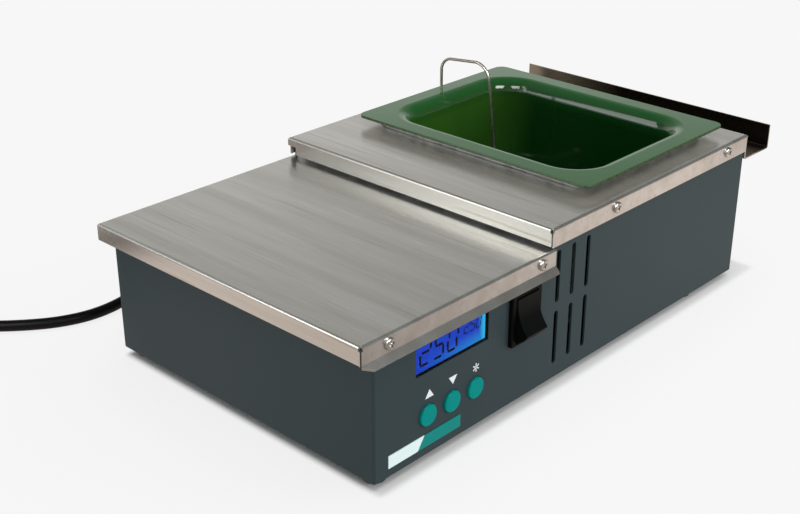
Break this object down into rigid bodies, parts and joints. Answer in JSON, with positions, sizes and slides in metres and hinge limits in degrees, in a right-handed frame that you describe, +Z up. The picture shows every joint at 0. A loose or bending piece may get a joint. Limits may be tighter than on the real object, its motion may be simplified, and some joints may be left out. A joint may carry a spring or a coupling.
{
  "type": "solder pot",
  "caption": "Bench solder pot: a slate folded case with steel decks, a deep green enamelled tank, a hooked sensor, a side display with buttons and a mains rocker.",
  "frame": {"origin": "on the bench, under the middle of the whole object without its cord", "axes": "+X runs along the case from the low electronics end to the gutter end, +Y from the control side to the back, +Z up"},
  "size_m": [0.5246, 0.4307, 0.1272],
  "materials": {
    "case_paint": "satin powder coat, slate grey",
    "deck_steel": "brushed stainless sheet",
    "enamel": "glossy vitreous enamel, dark green",
    "zinc": "zinc plated fasteners",
    "probe_steel": "drawn stainless tube",
    "strip_light": "plain light strip",
    "strip_dark": "plain teal strip",
    "black_plastic": "moulded black",
    "teal_plastic": "moulded teal caps",
    "pane": "clear blue pane",
    "display": "backlit display cell",
    "board": "circuit board laminate",
    "grey_plastic": "moulded grey",
    "galvanised": "plain galvanised sheet",
    "ceramic": "unglazed insulator",
    "fibre": "white fibre lining",
    "iron": "machined casting",
    "sheath": "steel sheathed heaters",
    "laminations": "varnished steel stack",
    "copper": "enamelled copper winding",
    "brass": "plated brass",
    "aluminium": "plain extrusion",
    "fuse_glass": "clear glass with metal caps",
    "rubber": "black rubber"
  },
  "bodies": {
    "pot": {"case": "case_paint", "front_deck": "deck_steel", "rear_deck": "deck_steel", "deck_screws": "zinc", "deck_nuts": "zinc", "name_strip_light": "strip_light", "name_strip_dark": "strip_dark", "partition": "galvanised", "partition_rivets": "aluminium", "wire_grommet": "rubber", "heat_shield": "galvanised", "shield_standoffs": "ceramic", "shield_screws": "zinc", "shield_nuts": "zinc", "floor_board": "ceramic", "insulation_blanket": "fibre", "heater_block": "iron", "heater_cartridges": "sheath", "clamp_bars": "zinc", "heater_studs": "zinc", "stud_nuts": "zinc", "solder_tank": "enamel", "sensor_probe": "probe_steel", "sensor_gland": "probe_steel", "display_window": "pane", "lcd_module": "display", "display_board": "board", "display_standoffs": "brass", "display_screws": "zinc", "tact_switches": "black_plastic", "button_guide": "grey_plastic", "switch_housing": "black_plastic", "switch_terminals": "brass", "power_board": "board", "board_standoffs": "brass", "board_screws": "zinc", "transformer_core": "laminations", "transformer_winding": "copper", "heat_sink": "aluminium", "triac": "black_plastic", "relay": "grey_plastic", "capacitor": "aluminium", "terminal_block": "grey_plastic", "fuse_holder": "brass", "fuse": "fuse_glass", "earth_stud": "zinc", "earth_nut": "zinc", "foot_front_near": "rubber", "foot_rear_near": "rubber", "foot_front_far": "rubber", "foot_rear_far": "rubber", "strain_relief": "rubber", "power_cord": "rubber", "cord_coil": "rubber", "plug_body": "rubber", "plug_pins": "brass"},
    "up_button": {"button_up": "teal_plastic"},
    "down_button": {"button_down": "teal_plastic"},
    "set_button": {"button_set": "teal_plastic"},
    "rocker": {"switch_rocker": "black_plastic"}
  },
  "joints": [
    {"name": "up_button_press", "type": "slide", "parent": "pot", "child": "up_button", "axis": [0, 1, 0], "range_m": [0, 0.0005], "stiffness_N_per_m": 1500},
    {"name": "down_button_press", "type": "slide", "parent": "pot", "child": "down_button", "axis": [0, 1, 0], "range_m": [0, 0.0005], "stiffness_N_per_m": 1500},
    {"name": "set_button_press", "type": "slide", "parent": "pot", "child": "set_button", "axis": [0, 1, 0], "range_m": [0, 0.0005], "stiffness_N_per_m": 1500},
    {"name": "rocker_tilt", "type": "hinge", "parent": "pot", "child": "rocker", "pos_m": [-0.0649, -0.09867, 0.0562], "axis": [1, 0, 0], "range_deg": [0, 39]}
  ]
}
